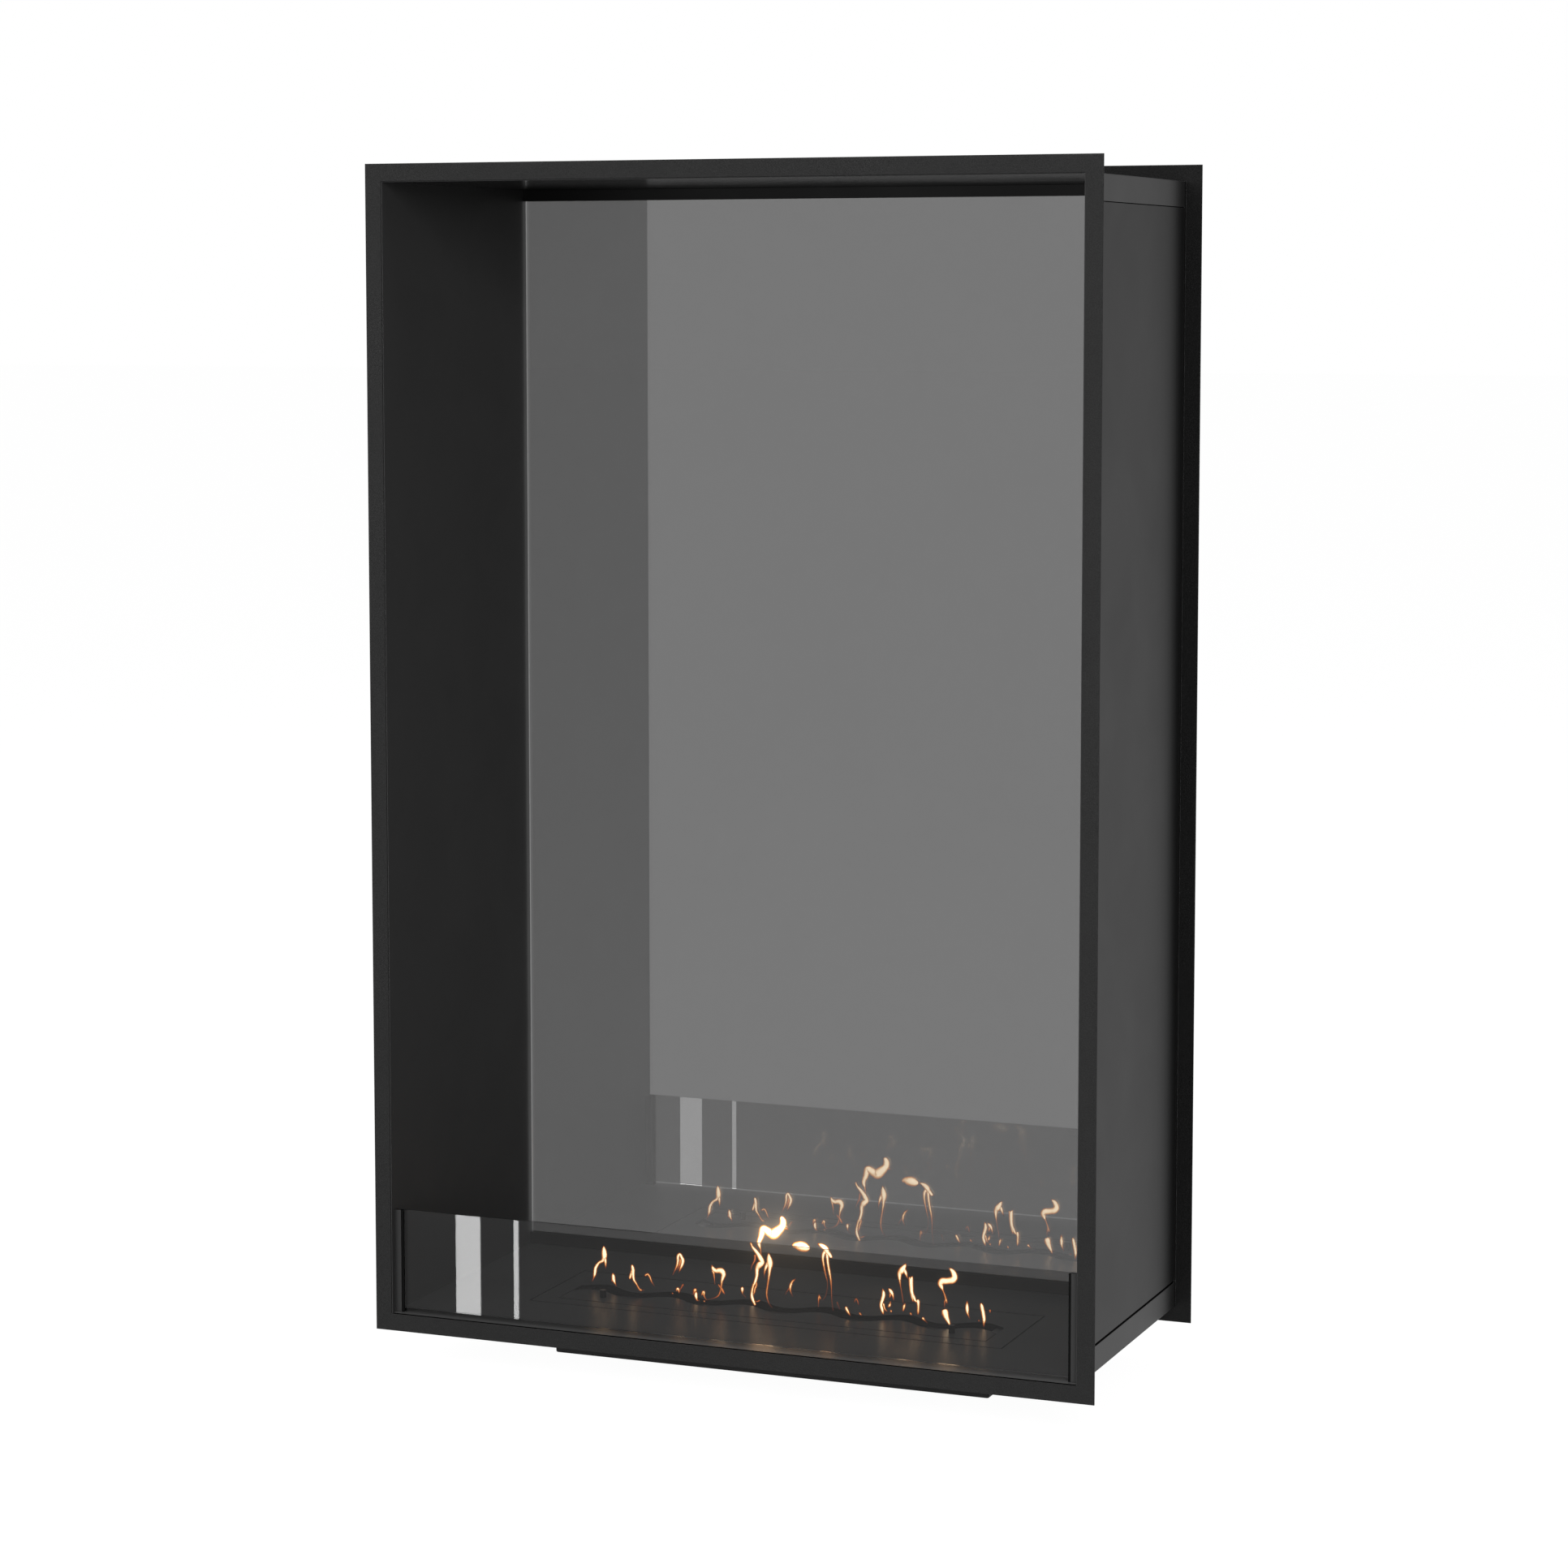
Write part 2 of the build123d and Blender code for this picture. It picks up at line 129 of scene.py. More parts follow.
def ramp(tree, value, stops):
    """A Color Ramp with the given stops: (place, colour)."""
    node = add_node(tree, "ShaderNodeValToRGB")
    elements = node.color_ramp.elements
    while len(elements) < len(stops):
        elements.new(0.5)
    for element, (place, colour) in zip(elements, stops):
        element.position = place
        element.color = (*colour, 1.0)
    tree.links.new(value, node.inputs["Fac"])
    return node.outputs["Color"]


# ---------------------------------------------------------------- shared effects

def make_coat_grain():
    """Orange-peel grain of a baked powder coat: fine beads over a slow roll. Sizes are in metres."""
    group, entry, leave = start_group(
        "coat grain",
        {"Bead size": 0.0009, "Roll size": 0.006, "Roll share": 0.3},
        {"Height": "NodeSocketFloat", "Fleck": "NodeSocketFloat"},
    )
    place = add_node(group, "ShaderNodeTexCoord")
    beads = add_node(group, "ShaderNodeTexVoronoi", feature="SMOOTH_F1", inputs={"Smoothness": 0.6})
    rolls = add_node(group, "ShaderNodeTexNoise", inputs={"Detail": 2.0})
    flecks = add_node(group, "ShaderNodeTexNoise", inputs={"Detail": 3.0, "Roughness": 0.7})
    for texture, size in ((beads, "Bead size"), (rolls, "Roll size"), (flecks, "Bead size")):
        group.links.new(place.outputs["Object"], texture.inputs["Vector"])
        group.links.new(math_node(group, "DIVIDE", 1.0, entry.outputs[size]), texture.inputs["Scale"])
    roll = math_node(group, "MULTIPLY", rolls.outputs["Fac"], entry.outputs["Roll share"])
    bead = math_node(group, "SUBTRACT", 1.0, beads.outputs["Distance"])
    group.links.new(math_node(group, "ADD", bead, roll), leave.inputs["Height"])
    group.links.new(map_range(group, flecks.outputs["Fac"], low=0.3, high=0.7), leave.inputs["Fleck"])
    return group


def make_soft_edge():
    """Rounded arrises of thin sheet: a normal that turns over the edge, and a mask that finds the edge."""
    group, entry, leave = start_group(
        "soft edge",
        {"Radius": 0.0005},
        {"Normal": "NodeSocketVector", "Edge": "NodeSocketFloat"},
    )
    bevel = add_node(group, "ShaderNodeBevel", samples=6)
    geometry = add_node(group, "ShaderNodeNewGeometry")
    turned = add_node(group, "ShaderNodeVectorMath", operation="DOT_PRODUCT")
    group.links.new(entry.outputs["Radius"], bevel.inputs["Radius"])
    group.links.new(bevel.outputs["Normal"], turned.inputs[0])
    group.links.new(geometry.outputs["Normal"], turned.inputs[1])
    group.links.new(bevel.outputs["Normal"], leave.inputs["Normal"])
    group.links.new(map_range(group, turned.outputs["Value"], low=0.995, high=0.85), leave.inputs["Edge"])
    return group


def make_handling_marks():
    """Slow patches and thin wipe marks left by handling and cleaning."""
    group, entry, leave = start_group(
        "handling marks",
        {"Patch size": 0.12, "Wipe size": 0.018},
        {"Patches": "NodeSocketFloat", "Wipes": "NodeSocketFloat"},
    )
    place = add_node(group, "ShaderNodeTexCoord")
    patches = add_node(group, "ShaderNodeTexNoise", inputs={"Detail": 3.0, "Distortion": 0.4})
    wipes = add_node(
        group, "ShaderNodeTexNoise", inputs={"Detail": 5.0, "Roughness": 0.65, "Distortion": 1.2}
    )
    stretch = add_node(group, "ShaderNodeVectorMath", operation="MULTIPLY")
    upright_stretch = (1.0, 1.0, 0.22)
    stretch.inputs[1].default_value = upright_stretch
    group.links.new(place.outputs["Object"], stretch.inputs[0])
    group.links.new(place.outputs["Object"], patches.inputs["Vector"])
    group.links.new(stretch.outputs["Vector"], wipes.inputs["Vector"])
    group.links.new(math_node(group, "DIVIDE", 1.0, entry.outputs["Patch size"]), patches.inputs["Scale"])
    group.links.new(math_node(group, "DIVIDE", 1.0, entry.outputs["Wipe size"]), wipes.inputs["Scale"])
    group.links.new(map_range(group, patches.outputs["Fac"], low=0.3, high=0.7), leave.inputs["Patches"])
    group.links.new(map_range(group, wipes.outputs["Fac"], low=0.45, high=0.75), leave.inputs["Wipes"])
    return group


def make_brushed_lines():
    """Fine lines of brushed or turned steel, long in X."""
    group, entry, leave = start_group(
        "brushed lines",
        {"Line size": 0.0004, "Stretch": 60.0},
        {"Height": "NodeSocketFloat", "Streak": "NodeSocketFloat"},
    )
    place = add_node(group, "ShaderNodeTexCoord")
    parts = add_node(group, "ShaderNodeSeparateXYZ")
    joined = add_node(group, "ShaderNodeCombineXYZ")
    lines = add_node(group, "ShaderNodeTexNoise", inputs={"Detail": 4.0, "Roughness": 0.6})
    group.links.new(place.outputs["Object"], parts.inputs["Vector"])
    drawn_out = math_node(group, "DIVIDE", parts.outputs["X"], entry.outputs["Stretch"])
    group.links.new(drawn_out, joined.inputs["X"])
    group.links.new(parts.outputs["Y"], joined.inputs["Y"])
    group.links.new(parts.outputs["Z"], joined.inputs["Z"])
    group.links.new(joined.outputs["Vector"], lines.inputs["Vector"])
    group.links.new(math_node(group, "DIVIDE", 1.0, entry.outputs["Line size"]), lines.inputs["Scale"])
    group.links.new(lines.outputs["Fac"], leave.inputs["Height"])
    group.links.new(map_range(group, lines.outputs["Fac"], low=0.35, high=0.65), leave.inputs["Streak"])
    return group


def make_cut_edge():
    """Finds the cut edges of a sheet that stands facing Y, or that lies flat when Flat is 1."""
    group, entry, leave = start_group("cut edge", {"Turn": 0.5, "Flat": 0.0}, {"Cut": "NodeSocketFloat"})
    geometry = add_node(group, "ShaderNodeNewGeometry")
    parts = add_node(group, "ShaderNodeSeparateXYZ")
    group.links.new(geometry.outputs["Normal"], parts.inputs["Vector"])
    standing = math_node(group, "ABSOLUTE", parts.outputs["Y"])
    lying = math_node(group, "ABSOLUTE", parts.outputs["Z"])
    facing = map_range(group, entry.outputs["Flat"], to_low=standing, to_high=lying)
    group.links.new(math_node(group, "LESS_THAN", facing, entry.outputs["Turn"]), leave.inputs["Cut"])
    return group


def make_outer_side():
    """Finds the side of an upright sheet that faces away from the middle of the fireplace."""
    group, entry, leave = start_group("outer side", {"Turn": 0.5}, {"Outer": "NodeSocketFloat"})
    geometry = add_node(group, "ShaderNodeNewGeometry")
    place = add_node(group, "ShaderNodeTexCoord")
    turned = add_node(group, "ShaderNodeSeparateXYZ")
    placed = add_node(group, "ShaderNodeSeparateXYZ")
    group.links.new(geometry.outputs["Normal"], turned.inputs["Vector"])
    group.links.new(place.outputs["Object"], placed.inputs["Vector"])
    side = math_node(group, "SIGN", placed.outputs["X"])
    outward = math_node(group, "MULTIPLY", side, turned.outputs["X"])
    group.links.new(math_node(group, "GREATER_THAN", outward, entry.outputs["Turn"]), leave.inputs["Outer"])
    return group


def make_flame_heat():
    """The heat painted on a flame's mesh, broken up by slow licks."""
    group, entry, leave = start_group("flame heat", {"Lick size": 0.006}, {"Heat": "NodeSocketFloat"})
    painted = add_node(group, "ShaderNodeAttribute", attribute_name="warmth")
    place = add_node(group, "ShaderNodeTexCoord")
    licks = add_node(group, "ShaderNodeTexNoise", inputs={"Detail": 2.0, "Distortion": 0.8})
    group.links.new(place.outputs["Object"], licks.inputs["Vector"])
    group.links.new(math_node(group, "DIVIDE", 1.0, entry.outputs["Lick size"]), licks.inputs["Scale"])
    lick_swing = 0.08
    broken = map_range(
        group, licks.outputs["Fac"], low=0.3, high=0.7, to_low=-lick_swing, to_high=lick_swing
    )
    heat = math_node(group, "ADD", painted.outputs["Fac"], broken, clamp=True)
    group.links.new(heat, leave.inputs["Heat"])
    return group


coat_grain = make_coat_grain()
soft_edge = make_soft_edge()
handling_marks = make_handling_marks()
brushed_lines = make_brushed_lines()
cut_edge = make_cut_edge()
outer_side = make_outer_side()
flame_heat = make_flame_heat()


# ---------------------------------------------------------------- materials

def start_material(name, **constants):
    """A material with one Principled BSDF, and the constant values on the shader's own sockets."""
    material = bpy.data.materials.new(name)
    material.use_nodes = True
    tree = material.node_tree
    shader = tree.nodes["Principled BSDF"]
    for label, value in constants.items():
        shader.inputs[label.replace("_", " ")].default_value = value
    return material, tree, shader


def black_coat(name, tones, roughness, bead, bump, painted_edge_tone=0.09, shaded_part=None, gloss=1.5):
    """A black coat on sheet steel: tones from grain to fleck, roughness span, bead size and bump in metres.

    The edge tone it is given is painted along the edges: a painted highlight where it is lighter
    than the coat and a painted shade where it is darker. The shaded part it is given, its cut edges
    or its outer side, is painted deep black and matte as painted shade.
    Gloss is the coat's index of refraction.
    """
    arris_radius = 0.0005
    painted_edge_share = 0.5
    shade_black = 0.004
    shade_roughness = 0.95
    material, tree, shader = start_material(name, IOR=gloss)
    grain = place_group(tree, coat_grain, Bead_size=bead)
    edge = place_group(tree, soft_edge, Radius=arris_radius)
    marks = place_group(tree, handling_marks)
    fleck = ramp(tree, grain.outputs["Fleck"], ((0.0, grey(tones[0])), (1.0, grey(tones[1]))))
    # Painted highlight or painted shade along the edges: the edge tone is mixed in where the edge mask finds
    # an edge.
    painted_edge = add_node(tree, "ShaderNodeMix", data_type="RGBA")
    painted_edge.inputs["B"].default_value = (*grey(painted_edge_tone), 1.0)
    tree.links.new(math_node(tree, "MULTIPLY", edge.outputs["Edge"], painted_edge_share), painted_edge.inputs["Factor"])
    tree.links.new(fleck, painted_edge.inputs["A"])
    colour = painted_edge.outputs["Result"]
    rough = map_range(tree, marks.outputs["Patches"], to_low=roughness[0], to_high=roughness[1])
    # Painted shade: the shaded part, cut edges or outer side, is painted deep black, matte and metallic, so
    # it shows as shadow.
    if shaded_part is not None:
        if shaded_part == "cut edges":
            mask = place_group(tree, cut_edge, Flat=1.0).outputs["Cut"]
        else:
            mask = place_group(tree, outer_side).outputs["Outer"]
        shade_painted = add_node(tree, "ShaderNodeMix", data_type="RGBA")
        shade_painted.inputs["B"].default_value = (*grey(shade_black), 1.0)
        tree.links.new(mask, shade_painted.inputs["Factor"])
        tree.links.new(colour, shade_painted.inputs["A"])
        colour = shade_painted.outputs["Result"]
        rough = math_node(tree, "MAXIMUM", rough, math_node(tree, "MULTIPLY", mask, shade_roughness))
        tree.links.new(mask, shader.inputs["Metallic"])
    tree.links.new(colour, shader.inputs["Base Color"])
    tree.links.new(rough, shader.inputs["Roughness"])
    relief = add_node(tree, "ShaderNodeBump", inputs={"Strength": 1.0, "Distance": bump})
    tree.links.new(grain.outputs["Height"], relief.inputs["Height"])
    tree.links.new(edge.outputs["Normal"], relief.inputs["Normal"])
    tree.links.new(relief.outputs["Normal"], shader.inputs["Normal"])
    return material


def textured_powder_coat():
    """Grainy powder coat of the front frame."""
    return black_coat(
        "textured powder coat", tones=(0.003, 0.018), roughness=(0.48, 0.58), bead=0.0011, bump=0.00012
    )


def shaded_rear_frame_coat():
    """The same grainy powder coat on the rear frame, rougher and darker: a darker copy as painted shade for
    the shade the rear frame stands in.
    """
    return black_coat(
        "rear frame powder coat", tones=(0.001, 0.008), roughness=(0.56, 0.66), bead=0.0011, bump=0.00012
    )


def panel_coat():
    """Smoother powder coat of the outer side panels."""
    return black_coat(
        "panel powder coat", tones=(0.006, 0.008), roughness=(0.38, 0.42), bead=0.0007, bump=0.00001
    )


def cover_coat():
    """Powder coat of the top cover and the base tray, a little glossier than the panels."""
    return black_coat(
        "cover powder coat", tones=(0.012, 0.015), roughness=(0.38, 0.42), bead=0.0007, bump=0.00001,
        gloss=1.75
    )


def channel_coat():
    """Smooth black of the two upright channels that hold the front screen."""
    return black_coat(
        "channel black", tones=(0.020, 0.024), roughness=(0.38, 0.46), bead=0.0007, bump=0.00001
    )


def wall_coat():
    """Heat-proof satin black of the chamber's walls, with their outer side painted deep black as painted
    shade.
    """
    return black_coat(
        "chamber wall black", tones=(0.021, 0.025), roughness=(0.40, 0.48), bead=0.0008, bump=0.00002,
        shaded_part="outer side"
    )


def roof_coat():
    """Smoother satin black of the chamber's roof."""
    return black_coat(
        "chamber roof black", tones=(0.007, 0.009), roughness=(0.12, 0.16), bead=0.0008, bump=0.000005
    )


def shaded_rail_coat():
    """Deep black of the rails at the rear glass: their black made deeper as painted shade for the shade they
    stand in.
    """
    return black_coat(
        "rail black", tones=(0.004, 0.006), roughness=(0.40, 0.48), bead=0.0008, bump=0.00002, painted_edge_tone=0.02
    )


def floor_coat():
    """Satin black of the chamber's floor, a little greyer than the walls."""
    # Painted shade along its edges, and its cut edges painted deep black as painted shade.
    return black_coat(
        "chamber floor black", tones=(0.050, 0.058), roughness=(0.30, 0.36), bead=0.0008, bump=0.00002,
        painted_edge_tone=0.004, shaded_part="cut edges"
    )


def burner_coat():
    """Satin black of the burner plate, its lid and the two knobs, with painted shade along the edges and cut
    edges.
    """
    return black_coat(
        "burner satin black", tones=(0.050, 0.060), roughness=(0.30, 0.38), bead=0.0008, bump=0.00004,
        painted_edge_tone=0.004, shaded_part="cut edges"
    )


def tank_coat():
    """Plain black paint of the tank casing under the floor."""
    return black_coat(
        "tank black", tones=(0.010, 0.016), roughness=(0.50, 0.60), bead=0.0009, bump=0.00005
    )


def seal_rubber():
    """Black rubber of the glass seals, gaskets and pads."""
    material, tree, shader = start_material("seal rubber", IOR=1.5, Specular_IOR_Level=0.1)
    grain = place_group(tree, coat_grain, Bead_size=0.0005)
    marks = place_group(tree, handling_marks, Patch_size=0.03)
    tone = ramp(tree, grain.outputs["Fleck"], ((0.0, grey(0.002)), (1.0, grey(0.005))))
    tree.links.new(tone, shader.inputs["Base Color"])
    rough = map_range(tree, marks.outputs["Patches"], to_low=0.6, to_high=0.75)
    tree.links.new(rough, shader.inputs["Roughness"])
    relief = add_node(tree, "ShaderNodeBump", inputs={"Strength": 0.6, "Distance": 0.00005})
    tree.links.new(grain.outputs["Height"], relief.inputs["Height"])
    tree.links.new(relief.outputs["Normal"], shader.inputs["Normal"])
    return material


def brushed_steel(name, tones, roughness, line):
    """Steel with brushed lines: tones from line to line, roughness span and the size of a line."""
    material, tree, shader = start_material(name, Metallic=1.0)
    lines = place_group(tree, brushed_lines, Line_size=line)
    edge = place_group(tree, soft_edge, Radius=0.0003)
    tone = ramp(tree, lines.outputs["Streak"], ((0.0, tones[0]), (1.0, tones[1])))
    tree.links.new(tone, shader.inputs["Base Color"])
    rough = map_range(tree, lines.outputs["Streak"], to_low=roughness[0], to_high=roughness[1])
    tree.links.new(rough, shader.inputs["Roughness"])
    relief = add_node(tree, "ShaderNodeBump", inputs={"Strength": 0.5, "Distance": 0.00002})
    tree.links.new(lines.outputs["Height"], relief.inputs["Height"])
    tree.links.new(edge.outputs["Normal"], relief.inputs["Normal"])
    tree.links.new(relief.outputs["Normal"], shader.inputs["Normal"])
    return material


def stainless_sheet():
    """Stainless sheet of the fuel tray and its mesh cover."""
    return brushed_steel(
        "stainless sheet", tones=((0.42, 0.42, 0.41), (0.56, 0.56, 0.55)), roughness=(0.28, 0.42), line=0.0005
    )


def blackened_screw():
    """Blackened steel of the small countersunk screws."""
    return brushed_steel(
        "blackened screw", tones=(grey(0.05), grey(0.10)), roughness=(0.35, 0.5), line=0.0002
    )


def ceramic_wool():
    """White ceramic fibre: short matted hairs with small pits."""
    material, tree, shader = start_material("ceramic wool", Sheen_Weight=0.3)
    hairs = add_node(tree, "ShaderNodeTexNoise", inputs={"Scale": 900.0, "Detail": 6.0, "Distortion": 3.0})
    pits = add_node(tree, "ShaderNodeTexVoronoi", inputs={"Scale": 140.0})
    place = add_node(tree, "ShaderNodeTexCoord")
    tree.links.new(place.outputs["Object"], hairs.inputs["Vector"])
    tree.links.new(place.outputs["Object"], pits.inputs["Vector"])
    tone = ramp(tree, hairs.outputs["Fac"], ((0.3, (0.58, 0.56, 0.52)), (0.7, (0.82, 0.81, 0.78))))
    tree.links.new(tone, shader.inputs["Base Color"])
    rough = map_range(tree, hairs.outputs["Fac"], low=0.3, high=0.7, to_low=0.85, to_high=1.0)
    tree.links.new(rough, shader.inputs["Roughness"])
    relief = add_node(tree, "ShaderNodeBump", inputs={"Strength": 0.8, "Distance": 0.0006})
    matted = math_node(tree, "ADD", hairs.outputs["Fac"], pits.outputs["Distance"])
    tree.links.new(matted, relief.inputs["Height"])
    tree.links.new(relief.outputs["Normal"], shader.inputs["Normal"])
    return material


def coated_glass(name, tint, alpha, edge_tint, painted_edge_glow):
    """Flat glass with a thin metal coat: part mirror, part see-through, with polished cut edges.

    The edge glow is a painted highlight: the cut edges glow with this strength, in place of light that runs
    inside the pane and comes out of its cut edges.
    """
    patch_share = 0.98
    edge_alpha = 0.95
    wipe_roughness = 0.006
    edge_roughness = 0.16
    material, tree, shader = start_material(
        name, Metallic=1.0, Transmission_Weight=0.0, Emission_Strength=painted_edge_glow
    )
    marks = place_group(tree, handling_marks, Wipe_size=0.03)
    cut = place_group(tree, cut_edge)
    tone = ramp(tree, marks.outputs["Patches"], ((0.0, grey(tint)), (1.0, grey(patch_share * tint))))
    edged = add_node(tree, "ShaderNodeMix", data_type="RGBA")
    edged.inputs["B"].default_value = (*grey(edge_tint), 1.0)
    tree.links.new(cut.outputs["Cut"], edged.inputs["Factor"])
    tree.links.new(tone, edged.inputs["A"])
    tree.links.new(edged.outputs["Result"], shader.inputs["Base Color"])
    # Painted highlight: the cut edges glow.
    tree.links.new(cut.outputs["Cut"], shader.inputs["Emission Color"])
    opacity = map_range(tree, cut.outputs["Cut"], to_low=alpha, to_high=edge_alpha)
    tree.links.new(opacity, shader.inputs["Alpha"])
    wiped = map_range(tree, marks.outputs["Wipes"], to_low=0.0, to_high=wipe_roughness)
    ground = math_node(tree, "MULTIPLY", cut.outputs["Cut"], edge_roughness)
    tree.links.new(math_node(tree, "ADD", wiped, ground), shader.inputs["Roughness"])
    return material


def smoked_mirror_glass():
    """Smoked half-mirror glass of the rear window."""
    # Its cut edges glow a little as a painted highlight.
    return coated_glass("smoked mirror glass", tint=0.24, alpha=0.688, edge_tint=0.60, painted_edge_glow=0.5)


def screen_glass():
    """Lightly smoked glass of the low front screen."""
    return coated_glass("screen glass", tint=0.095, alpha=0.40, edge_tint=0.60, painted_edge_glow=0.0)


def flame_layer(name, strength, stops, thinning, density):
    """One layer of a flame: its heat is painted on the mesh and falls off where the layer turns away."""
    material, tree, shader = start_material(
        name, Base_Color=pure_black, Roughness=1.0, Specular_IOR_Level=0.0, Emission_Strength=strength
    )
    heat = place_group(tree, flame_heat)
    turning = add_node(tree, "ShaderNodeLayerWeight", inputs={"Blend": 0.5})
    away = math_node(tree, "MULTIPLY", turning.outputs["Facing"], thinning)
    warmth = math_node(tree, "SUBTRACT", heat.outputs["Heat"], away, clamp=True)
    thick = ramp(tree, turning.outputs["Facing"], [(place, grey(share)) for place, share in density])
    filled = map_range(tree, heat.outputs["Heat"], low=0.0, high=0.5, to_low=0.55, to_high=1.0)
    tree.links.new(ramp(tree, warmth, stops), shader.inputs["Emission Color"])
    tree.links.new(math_node(tree, "MULTIPLY", thick, filled), shader.inputs["Alpha"])
    return material


def flame_core():
    """The hot inside of a flame, from orange in its thin stems to white in its body."""
    stops = (
        (0.0, (0.20, 0.040, 0.012)),
        (0.25, (0.40, 0.105, 0.022)),
        (0.45, (0.60, 0.25, 0.070)),
        (0.65, (0.90, 0.58, 0.25)),
        (0.9, (1.0, 0.82, 0.56)),
    )
    density = ((0.0, 1.0), (0.5, 1.0), (1.0, 0.6))
    return flame_layer("flame core", strength=4.0, stops=stops, thinning=0.9, density=density)


def flame_veil():
    """The thin orange veil round a flame, which fades to a dim red."""
    stops = (
        (0.0, (0.10, 0.020, 0.010)),
        (0.4, (0.50, 0.100, 0.018)),
        (1.0, (1.0, 0.30, 0.060)),
    )
    density = ((0.0, 0.04), (0.12, 0.15), (0.35, 0.65), (1.0, 0.0))
    return flame_layer("flame veil", strength=1.6, stops=stops, thinning=0.6, density=density)


def dress(material, *names):
    """Puts a material on CAD nodes through their objects' material slots."""
    for name in names:
        piece = nodes[name]
        for entry in piece.material_slots:
            entry.link = "OBJECT"
            entry.material = material


dress(textured_powder_coat(), "front_frame")
dress(shaded_rear_frame_coat(), "rear_frame")
dress(panel_coat(), "left_side_panel", "right_side_panel")
dress(cover_coat(), "top_cover", "base_tray")
dress(channel_coat(), "left_glass_channel", "right_glass_channel")
dress(wall_coat(), "left_wall", "right_wall")
dress(roof_coat(), "roof_liner")
dress(shaded_rail_coat(), "rear_head_rail", "rear_sill")
dress(floor_coat(), "floor_plate")
dress(burner_coat(), "burner_plate", "wave_lid", "lid_knobs")
dress(tank_coat(), "tank_casing")
dress(seal_rubber(), "rear_glass_seals", "rear_setting_pads", "channel_gaskets", "screen_pads")
dress(stainless_sheet(), "draught_strip", "lid_runners", "fuel_tray", "mesh_cover")
dress(blackened_screw(), "rail_screws", "channel_screws", "knob_screws")
dress(ceramic_wool(), "ceramic_fibre")
dress(smoked_mirror_glass(), "rear_glass")
dress(screen_glass(), "front_glass")


# ---------------------------------------------------------------- flames

# The flames are drawn on squared paper: one square is 0.96 mm across and 0.89 mm up.
square_across = 0.96 * mm
square_up = 0.89 * mm
plate_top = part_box("burner_plate")[1].z
slot_middle = 179.25 * mm
half_wave = 10.7 * mm
wave_pitch = 91.7 * mm
first_crest = -229.7 * mm
ring_sides = 10
rings_per_span = 5
layer_step = 0.45       # squares by which the core is thinner than its stroke, and the veil thicker
thinnest = 0.12         # least half width of a layer, in squares
cold_width = 0.35       # half width at which a tongue is cold, in squares
warming_width = 1.5     # squares more at which it is hottest
tongue_depth = 0.75     # depth of a tongue for its width


def slot_line(x):
    """The middle of the wavy slot, as Y at a place along it."""
    return slot_middle + half_wave * math.cos(2 * math.pi * (x - first_crest) / wave_pitch)


def smooth_stroke(points):
    """A smooth line through the given points (across, up, half width), all in squares."""
    rows = []
    for index in range(len(points) - 1):
        before = Vector(points[max(index - 1, 0)])
        here = Vector(points[index])
        there = Vector(points[index + 1])
        after = Vector(points[min(index + 2, len(points) - 1)])
        for step in range(rings_per_span):
            t = step / rings_per_span
            bend = (2 * before - 5 * here + 4 * there - after) * t * t
            twist = (3 * here - before - 3 * there + after) * t * t * t
            rows.append((2 * here + (there - before) * t + bend + twist) / 2)
    rows.append(Vector(points[-1]))
    return rows


def sweep(mesh, heat_layer, rows, root, grow, glow, material_index):
    """Sweeps one layer of a tongue along its stroke, closed at both ends."""
    rings = []
    for index, row in enumerate(rows):
        ahead = rows[min(index + 1, len(rows) - 1)] - rows[max(index - 1, 0)]
        side = Vector((-ahead.y * square_up, 0.0, ahead.x * square_across)).normalized()
        half = max(row.z + grow, thinnest) * square_up
        centre = root + Vector((row.x * square_across, 0.0, row.y * square_up))
        heat = min(max((row.z - cold_width) / warming_width, 0.0), 1.0) * glow
        ring = []
        for turn in range(ring_sides):
            angle = 2 * math.pi * turn / ring_sides
            across = side * (half * math.cos(angle))
            outward = Vector((0.0, tongue_depth * half * math.sin(angle), 0.0))
            vertex = mesh.verts.new(centre + (across + outward))
            vertex[heat_layer] = heat
            ring.append(vertex)
        rings.append((centre, ring, heat))
    for (_, lower, _), (_, upper, _) in zip(rings, rings[1:]):
        for turn in range(ring_sides):
            after = (turn + 1) % ring_sides
            face = mesh.faces.new((lower[turn], lower[after], upper[after], upper[turn]))
            face.material_index = material_index
            face.smooth = True
    for (centre, ring, heat), flip in ((rings[0], True), (rings[-1], False)):
        tip = mesh.verts.new(centre)
        tip[heat_layer] = heat
        for turn in range(ring_sides):
            after = (turn + 1) % ring_sides
            pair = (ring[after], ring[turn]) if flip else (ring[turn], ring[after])
            face = mesh.faces.new((*pair, tip))
            face.material_index = material_index
            face.smooth = True


core_finish = flame_core()
veil_finish = flame_veil()
flame_numbers = itertools.count(1)


def flame(along, *strokes, glow=1.0):
    """One flame over the slot: its place along it in mm, and its strokes, drawn up from the plate there.

    Glow is the share of the full heat that a faint flame has.
    """
    name = f"flame_{next(flame_numbers):02d}"
    place = along * mm
    root = Vector((place, slot_line(place), plate_top))
    mesh = bmesh.new()
    heat_layer = mesh.verts.layers.float.new("warmth")
    for points in strokes:
        rows = smooth_stroke(points)
        for material_index, grow in enumerate((-layer_step, layer_step)):
            sweep(mesh, heat_layer, rows, root, grow, glow, material_index)
    bmesh.ops.recalc_face_normals(mesh, faces=mesh.faces)
    data = bpy.data.meshes.new(name)
    mesh.to_mesh(data)
    mesh.free()
    data.materials.append(core_finish)
    data.materials.append(veil_finish)
    piece = bpy.data.objects.new(name, data)
    bpy.context.scene.collection.objects.link(piece)
    piece.visible_diffuse = False
    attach(piece, "burner")
    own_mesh(piece)


